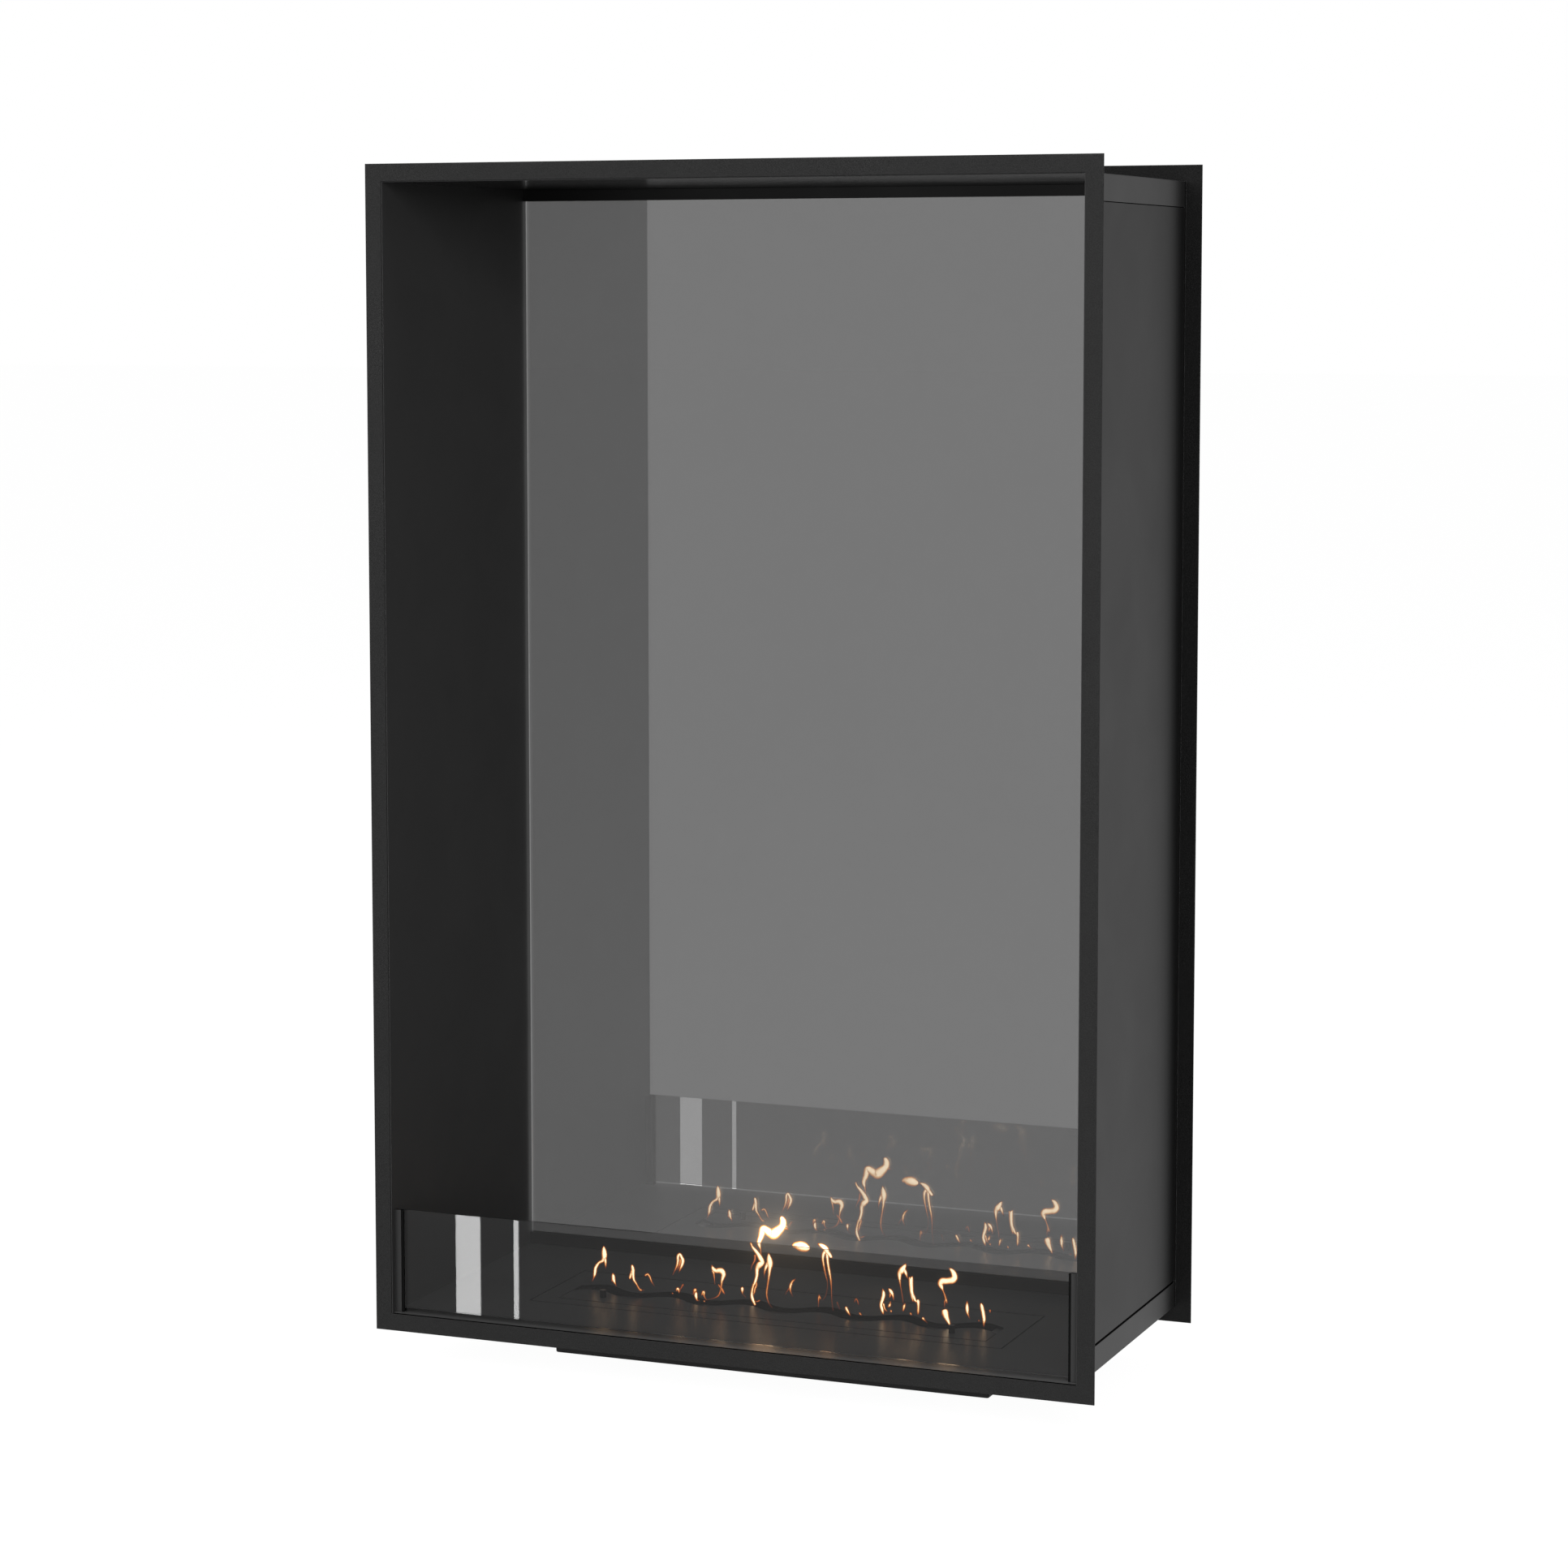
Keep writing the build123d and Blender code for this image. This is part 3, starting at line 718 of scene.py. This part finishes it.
def left_end_flames():
    """The flames at the left end of the slot."""
    flame(-240.5,
          ((0, 7, 0.4), (2, 12, 0.9), (3.5, 18, 1.9), (4.7, 25.5, 2.0), (9, 32.5, 1.6), (13, 35, 1.8),
           (15, 38, 2.4), (16.2, 42, 3.5), (15.8, 48, 3.2), (15.4, 52.5, 1.8), (15.3, 55.5, 0.3)),
          ((17.7, 25.5, 0.3), (17.8, 30, 1.1), (17.3, 36, 1.8), (16.5, 41, 2.0)))
    flame(-212,
          ((4, 5, 0.4), (2.2, 9, 1.1), (0.6, 13, 2.0), (0, 17, 2.3), (-0.6, 21, 1.2), (-0.7, 22.5, 0.3)),
          ((-2.2, 10.5, 0.5), (-1.4, 13, 1.2), (-0.4, 17, 1.6)))
    flame(-173,
          ((4, 7.6, 0.8), (2.6, 7.4, 0.4), (0.5, 7.2, 1.2), (-1.8, 8.7, 1.1), (-5.6, 15, 1.2),
           (-8.7, 20, 1.6), (-9.6, 27, 2.0), (-9.8, 33, 2.2), (-10.7, 37.5, 1.6), (-11, 39.5, 0.3)),
          ((-13.7, 19.5, 0.5), (-13.5, 22, 1.5), (-12, 27, 1.6), (-10.3, 32, 1.8)))
    flame(-160,
          ((0.3, 11.5, 0.4), (-3.2, 17, 0.9), (-4.4, 20, 1.1), (-5.5, 23, 1.2), (-7.5, 25.5, 1.3),
           (-8.8, 26, 1.2), (-11, 24.5, 1.2), (-12, 23.5, 0.6)))
    flame(-139.5,
          ((-2, 25, 0.4), (0.7, 31, 0.8), (3.5, 37.5, 1.3), (4.8, 44, 1.6), (5, 50, 1.8), (7.3, 53, 1.7),
           (9.8, 49, 2.0), (11.2, 45, 2.2), (10.2, 40, 1.8), (8, 34.5, 1.2), (5.8, 29, 0.4)))
    flame(-139,
          ((3.2, 31.5, 0.5), (5, 36, 1.3), (7, 42, 2.0), (7.6, 47, 1.8)), glow=0.35)
    flame(-134.5,
          ((1.1, 2.3, 0.5), (1, 5, 1.1), (0, 8, 1.5), (-1.3, 7.5, 1.5), (-2.6, 4.6, 0.6)))
    flame(-133,
          ((0.5, 5.5, 0.7), (2.4, 10, 1.0), (4.8, 14, 1.3), (5.4, 15, 0.6)), glow=0.4)
    flame(-141,
          ((-1, 0.6, 0.5), (-0.5, 1.4, 1.2), (0, 2.2, 0.5)), glow=0.5)


def left_flames():
    """The low flames left of the middle, and the hooked one among them."""
    flame(-103,
          ((2.5, 1.7, 0.6), (0, 1.1, 0.8), (-1.2, 4, 1.5), (-1.9, 7.5, 2.1), (-1.7, 10.5, 1.6),
           (-1.5, 13, 0.4)))
    flame(-102,
          ((-7, 7.5, 0.4), (-5.5, 11, 1.2), (-4, 14, 2.3), (-3.5, 16, 1.6), (-3.4, 17, 0.3)), glow=0.6)
    flame(-90,
          ((0.2, 3.4, 0.4), (-2.1, 5.6, 0.8), (-4, 9.4, 1.1), (-3.9, 13, 1.5), (-5, 13.6, 1.5),
           (-6.5, 10.5, 1.1), (-6.9, 8.6, 0.4)),
          ((-4, 1.2, 0.6), (-3.4, 1.9, 1.2), (-2.8, 2.4, 0.6)))
    flame(-84.5,
          ((-5.8, 3.7, 0.3), (0.2, 6, 0.5), (3.4, 7.2, 0.7), (7.9, 10.5, 0.9), (10.4, 16, 1.0),
           (11.7, 22.5, 1.0), (12.3, 29, 1.4), (13.6, 34, 2.2), (14.6, 38.5, 3.0), (12.6, 42.5, 3.6),
           (8.8, 43, 3.3), (5.3, 42.3, 2.8), (1.8, 44, 2.4), (-0.4, 49.3, 0.5)),
          ((3.7, 24, 0.4), (2.8, 34, 1.0), (2.1, 39, 1.3), (1.4, 42, 2.0)))
    flame(-84,
          ((7.2, 25, 0.8), (9, 22.5, 1.3), (11, 20.5, 1.5), (13.6, 16, 1.5), (15.5, 13, 0.5)), glow=0.5)
    flame(-51.5,
          ((0.7, 5.6, 0.3), (-2, 8, 0.4), (-4.1, 10.7, 0.8), (-4.4, 15.8, 1.9), (-4.4, 18, 1.5),
           (-4.4, 19.4, 0.3)))


def tall_flames():
    """The tall flames over the middle of the slot, and the loose tongues beside and above them."""
    flame(-40.5,
          ((0.6, -3, 1.3), (-3.1, 6, 2.0), (-3.6, 13, 1.6), (-1.8, 22, 1.5), (0.4, 26.5, 1.8),
           (2.7, 35.5, 2.0), (3.1, 44, 2.6), (6, 49.5, 4.0), (9.5, 53, 3.2), (7.5, 58, 3.2),
           (4.5, 63, 2.6), (0.5, 68, 2.1), (-3, 72, 1.5), (-4.9, 76.4, 1.2), (-5.2, 77.6, 0.3)),
          ((-1.8, 9.5, 0.5), (-0.5, 14, 1.2), (0, 17.5, 1.3), (2.2, 23.5, 1.2), (1.5, 27, 1.2)),
          ((0.6, 2.6, 0.6), (3, 2, 0.8), (5.8, 3.6, 0.9), (7, 4.2, 0.3)))
    flame(-40,
          ((-5.5, 41.5, 0.5), (-3.7, 48, 0.9), (-0.4, 55, 1.4), (0, 62, 1.5)), glow=0.45)
    flame(-39.5,
          ((7, 63, 0.7), (6.1, 71, 1.2), (4.6, 76, 2.4), (4.8, 80, 2.8), (7, 86, 3.5), (8.5, 92, 4.2),
           (10, 96.5, 4.5), (14, 95, 4.8), (18.5, 92, 5.6), (23, 91, 7.0), (27.6, 95, 6.4),
           (32, 99.5, 5.2), (34.5, 103.5, 4.6), (34.8, 108.5, 4.2), (33, 112.8, 2.6), (32, 114.6, 0.6)),
          ((32, 99, 1.8), (37, 99.6, 1.2), (41.8, 98.7, 0.4)))
    flame(-13.5,
          ((0.9, 1, 0.3), (-3.6, 7.3, 0.7), (-5.8, 15.4, 1.0), (-5.8, 22.5, 1.1), (-4.5, 31.5, 1.1),
           (-3.2, 40.3, 1.3), (-2.3, 49.3, 2.0), (-1.8, 55, 3.4), (-2, 59, 4.0), (-2.7, 63.5, 3.3),
           (-3.3, 68, 1.6), (-3.6, 71.6, 0.3)),
          ((-9, 38.5, 0.3), (-8.5, 46.6, 1.1), (-6.3, 53.7, 2.0), (-4, 58, 2.5)))
    flame(12.5,
          ((-0.2, 18, 0.3), (-3, 24.3, 0.9), (-3.4, 30.5, 1.5), (-1.1, 36.8, 1.3), (1.5, 39.5, 0.9),
           (3.3, 41.7, 0.3)))
    flame(13,
          ((-10.5, 20, 0.4), (-7.5, 25, 0.8), (-5, 29, 1.1)), glow=0.35)
    flame(20,
          ((-10.3, 81, 1.5), (-7, 82.5, 3.8), (-2, 82.2, 6.0), (3, 81.5, 6.3), (7.5, 80.5, 4.8),
           (11, 80.5, 1.6)))


def right_flames():
    """The flames right of the middle, the highest of them leaning back to the left."""
    flame(36.5,
          ((0.3, 3.2, 0.4), (0.6, 12.2, 0.9), (0.9, 16, 1.1), (1, 19.7, 0.3)),
          ((3.7, 13, 0.4), (2.3, 15.5, 1.0), (1.2, 18.5, 0.7)))
    flame(52.5,
          ((1.9, 0.3, 0.3), (0.1, 14, 0.6), (-0.4, 29, 0.8), (-1.3, 40.5, 1.2), (-3, 49.5, 1.5),
           (-4.8, 60, 1.6), (-5.7, 70, 1.9), (-5.5, 74, 2.6), (-7, 77.5, 3.4), (-10, 80.5, 3.0),
           (-13.5, 82.5, 2.0), (-17.8, 84, 0.4)),
          ((-11, 13, 0.2), (-7.5, 18.3, 0.4), (-5.7, 27.3, 0.5), (-5.3, 36, 0.6), (-7.5, 45, 0.9),
           (-9.7, 55.7, 1.2), (-11, 64.7, 1.5), (-10.4, 71, 2.0), (-8, 75, 2.4)),
          ((-5, 74.5, 2.4), (-3.2, 72, 2.4), (-0.8, 68.5, 1.8), (-0.6, 67, 0.6)))
    flame(65,
          ((0, 5, 0.3), (-2, 10, 0.6), (-3.7, 14, 0.8)), glow=0.4)
    flame(81.5,
          ((0.4, 1, 0.3), (-2, 5, 1.3), (-3.7, 8, 1.6), (-5.2, 11, 1.6), (-6.3, 12, 0.9)))
    flame(90,
          ((2.3, 17, 0.6), (1.4, 21, 1.0), (-0.6, 24.5, 1.0), (-2.3, 21.5, 0.8),
           (-2.6, 19.5, 0.4)), glow=0.35)
    flame(94,
          ((2.2, 4, 0.4), (0.3, 5.7, 1.1), (-1.5, 7.5, 0.6)))


def right_end_flames():
    """The flames at the right end of the slot."""
    flame(117,
          ((0, 3.5, 0.5), (-1, 7.5, 1.5), (-2, 11.2, 2.0), (-3, 15, 1.9), (-2.6, 18.5, 2.0),
           (-1.3, 23.2, 2.2), (-0.1, 28, 2.3), (0, 31.5, 2.0), (-1, 36, 0.8), (-1.1, 37, 0.3)),
          ((5, 8.4, 0.4), (3, 9.5, 0.9), (1.1, 12.6, 1.2), (-0.2, 18, 1.4)))
    flame(123.5,
          ((4, 22, 0.5), (2.9, 28.4, 1.4), (0.8, 32.6, 2.3), (-1.5, 35.5, 1.4), (-2.7, 36.8, 0.3)),
          ((-3.2, 12.5, 0.5), (-1.2, 14.8, 1.6), (-0.2, 18, 1.1), (0.1, 21, 0.5)),
          ((1.6, 6, 0.4), (0.8, 8, 1.2), (0.2, 9.6, 0.6)))
    flame(124,
          ((-1.4, 25, 1.0), (-0.9, 28.5, 1.6), (-0.1, 31.5, 1.6)), glow=0.6)
    flame(137,
          ((0, 18, 0.5), (-0.8, 25, 0.7), (-2.5, 35, 0.7), (-3.9, 43.4, 1.0), (-4.6, 51, 2.0),
           (-4.2, 56, 3.0), (-1.6, 60, 4.0), (0.4, 63.5, 3.0), (2.4, 67, 1.6), (3.4, 69.4, 0.3)),
          ((6.2, 49, 0.3), (4.5, 52.5, 1.0), (3, 57, 1.9), (1, 61, 2.2)),
          ((-0.2, 8.3, 0.8), (1, 14, 1.6), (1.9, 17, 1.0), (2.4, 19, 0.3)))
    flame(156,
          ((-4.8, 23.5, 0.6), (-5.5, 30.5, 2.0), (-6.6, 37.5, 2.3), (-7.3, 47.3, 2.7), (-7, 52, 2.4),
           (-5.6, 55.5, 0.9), (-5.2, 56.4, 0.3)),
          ((-8, 48, 1.8), (-9.2, 53.5, 1.2), (-9.4, 55, 0.3)),
          ((1.2, 8, 0.6), (1.5, 12.2, 1.4), (1.7, 20, 1.6), (1.3, 25, 2.0), (0.6, 27, 1.2)),
          ((-6, 35, 1.8), (-3.5, 29, 1.8), (-2, 25.6, 1.6), (0.5, 24.5, 1.6)))
    flame(148,
          ((0.4, 5, 0.4), (-1, 6.6, 1.2), (-2.2, 8.3, 0.5)))
    flame(172,
          ((0.4, 2, 0.3), (-3, 5, 0.8), (-5.2, 7.5, 1.5), (-6, 8.6, 0.7)))
    flame(198.5,
          ((-4.3, 27.7, 0.5), (-5.6, 32.2, 1.2), (-7.5, 38.6, 1.0), (-9.4, 43.7, 1.0), (-11, 47.5, 2.0),
           (-12.5, 52, 3.6), (-10.5, 55.8, 4.2), (-6, 56.4, 4.0), (-2.4, 57.2, 4.0), (2, 58.5, 4.4),
           (4.4, 62, 4.0), (3.6, 66.5, 3.4), (1.5, 70, 2.6), (-1.5, 72.6, 1.0), (-2.7, 73.3, 0.3)),
          ((-7.5, 23, 0.6), (-7.5, 28.4, 0.8), (-6.8, 32.5, 1.0)),
          ((0, -1, 0.6), (-3, 6, 2.0), (-5.6, 11.8, 3.4), (-6.9, 17, 4.2), (-7.6, 20, 3.2),
           (-7.8, 20.7, 1.0)),
          ((-11.3, 12.4, 0.4), (-9.6, 15, 1.2), (-8, 17, 1.5)))
    flame(216.5,
          ((0.1, 8, 0.3), (-2.7, 14.3, 1.3), (-3.4, 20.7, 2.2), (-3.6, 25.8, 1.5), (-3.4, 30.9, 0.4)))
    flame(231.5,
          ((0, -1.6, 0.5), (0, 3, 1.1), (0.3, 8.6, 2.0), (-0.9, 16.3, 2.3), (-2.2, 22.6, 2.2),
           (-3.2, 27, 1.5), (-3.5, 28.6, 0.4)))
    flame(239.5,
          ((0, 18, 0.7), (0, 20.5, 1.3), (0.1, 22, 0.7)), glow=0.6)
    flame(225.5,
          ((0, 5, 0.6), (0.3, 6, 1.2), (0.5, 6.8, 0.6)), glow=0.6)


left_end_flames()
left_flames()
tall_flames()
right_flames()
right_end_flames()


# ---------------------------------------------------------------- floor, lights and camera

def stage_sheet(name, corners):
    """A flat stage sheet through four corners."""
    mesh = bmesh.new()
    mesh.faces.new([mesh.verts.new(corner) for corner in corners])
    data = bpy.data.meshes.new(name)
    mesh.to_mesh(data)
    mesh.free()
    sheet = bpy.data.objects.new(name, data)
    bpy.context.scene.collection.objects.link(sheet)
    return sheet


def pale_floor():
    """A plain pale floor just under the tank."""
    reach = 60.0
    clearance = 0.2 * mm
    level = cad_low.z - clearance
    floor = stage_sheet("floor", [
        (-reach, -reach, level),
        (reach, -reach, level),
        (reach, reach, level),
        (-reach, reach, level),
    ])
    floor.visible_glossy = False
    floor.visible_diffuse = False
    material = start_material(
        "pale floor", Roughness=1.0, Specular_IOR_Level=0.0, Base_Color=(*grey(0.08), 1.0),
        Emission_Color=pure_white, Emission_Strength=0.97
    )[0]
    floor.data.materials.append(material)


def strip_lamp(name, left, right, height, strength):
    """An upright studio lamp, far in front of the object, that only shows as a reflection."""
    distance = -10.0
    low, high = height
    lamp = stage_sheet(name, [
        (left, distance, low),
        (right, distance, low),
        (right, distance, high),
        (left, distance, high),
    ])
    lamp.visible_camera = False
    lamp.visible_diffuse = False
    lamp.visible_transmission = False
    lamp.visible_shadow = False
    material = start_material(
        name, Base_Color=pure_black, Emission_Color=pure_white, Emission_Strength=strength
    )[0]
    lamp.data.materials.append(material)


def light_strips():
    """The two lamps that show in the front screen, and the two that show in its image in the rear glass."""
    screen_height = (-2.90, -2.44)
    image_height = (-2.425, -2.064)
    strip_lamp("broad strip lamp", left=-5.346, right=-5.238, height=screen_height, strength=9.6)
    strip_lamp("narrow strip lamp", left=-5.092, right=-5.071, height=screen_height, strength=9.6)
    strip_lamp("broad fill lamp", left=-4.677, right=-4.581, height=image_height, strength=2.9)
    strip_lamp("narrow fill lamp", left=-4.449, right=-4.431, height=image_height, strength=2.9)


def soft_light(name, place, target, size, power):
    """A large square area light."""
    data = bpy.data.lights.new(name, "AREA")
    data.shape = "SQUARE"
    data.size = size
    data.energy = power
    light = bpy.data.objects.new(name, data)
    light.location = place
    light.rotation_euler = (Vector(target) - Vector(place)).to_track_quat("-Z", "Y").to_euler()
    light.visible_glossy = False
    bpy.context.scene.collection.objects.link(light)


def soft_lights():
    """The studio's four soft lights."""
    soft_light("key light", place=(-2.6, -4.0, 2.4), target=(0.0, 0.0, 0.6), size=2.4, power=130.0)
    soft_light("fill light", place=(2.6, -3.6, 2.2), target=(-0.3, 0.2, 0.3), size=1.6, power=135.0)
    soft_light("low light", place=(1.4, -1.6, 0.10), target=(-0.4, 0.15, 0.10), size=0.8, power=16.0)
    soft_light("top light", place=(0.0, 0.2, 4.4), target=(0.0, 0.2, 0.0), size=3.0, power=160.0)


def studio_world():
    """White behind the object, and for all else a dim room that is brighter to the right and behind."""
    bright_side = (0.45, 0.80, -0.40)
    world = bpy.data.worlds.new("studio")
    bpy.context.scene.world = world
    world.use_nodes = True
    tree = world.node_tree
    tree.nodes.clear()
    direction = add_node(tree, "ShaderNodeTexCoord")
    facing = add_node(tree, "ShaderNodeVectorMath", operation="DOT_PRODUCT")
    facing.inputs[1].default_value = bright_side
    tree.links.new(direction.outputs["Generated"], facing.inputs[0])
    toward = map_range(tree, facing.outputs["Value"], low=-1.0, high=1.0)
    tones = ((0.0, 0.48), (0.15, 0.46), (0.35, 0.15), (0.90, 0.27), (1.0, 0.62))
    room = ramp(tree, toward, [(place, grey(tone)) for place, tone in tones])
    white = add_node(tree, "ShaderNodeBackground", inputs={"Color": pure_white, "Strength": 1.0})
    dim = add_node(tree, "ShaderNodeBackground", inputs={"Strength": 1.0})
    tree.links.new(room, dim.inputs["Color"])
    rays = add_node(tree, "ShaderNodeLightPath")
    blend = add_node(tree, "ShaderNodeMixShader")
    tree.links.new(rays.outputs["Is Camera Ray"], blend.inputs["Fac"])
    tree.links.new(dim.outputs["Background"], blend.inputs[1])
    tree.links.new(white.outputs["Background"], blend.inputs[2])
    leave = add_node(tree, "ShaderNodeOutputWorld")
    tree.links.new(blend.outputs["Shader"], leave.inputs["Surface"])


def photo_camera():
    """The camera at the photograph's viewing angle: in front, to the right and near the object's top."""
    place = (1.6234, -3.8723, 1.1418)
    looking_down = 5.5812
    turned_left = 21.8483
    data = bpy.data.cameras.new("camera")
    data.sensor_width = 36.0
    data.lens = 91.36
    data.shift_y = -0.06
    data.clip_end = 200.0
    camera = bpy.data.objects.new("camera", data)
    camera.location = place
    camera.rotation_euler = (math.radians(90.0 - looking_down), 0.0, math.radians(turned_left))
    bpy.context.scene.collection.objects.link(camera)
    bpy.context.scene.camera = camera


def flame_glow():
    """The soft glow that a lens puts round the brightest flames."""
    scene = bpy.context.scene
    scene.use_nodes = True
    tree = scene.node_tree
    tree.nodes.clear()
    picture = tree.nodes.new("CompositorNodeRLayers")
    glow = tree.nodes.new("CompositorNodeGlare")
    leave = tree.nodes.new("CompositorNodeComposite")
    glow.glare_type = "BLOOM"
    glow.inputs["Threshold"].default_value = 1.2
    glow.inputs["Strength"].default_value = 1.0
    glow.inputs["Size"].default_value = 0.4
    tree.links.new(picture.outputs["Image"], glow.inputs["Image"])
    tree.links.new(glow.outputs["Image"], leave.inputs["Image"])


pale_floor()
light_strips()
soft_lights()
studio_world()
photo_camera()
flame_glow()
bpy.context.scene.view_settings.view_transform = "Standard"
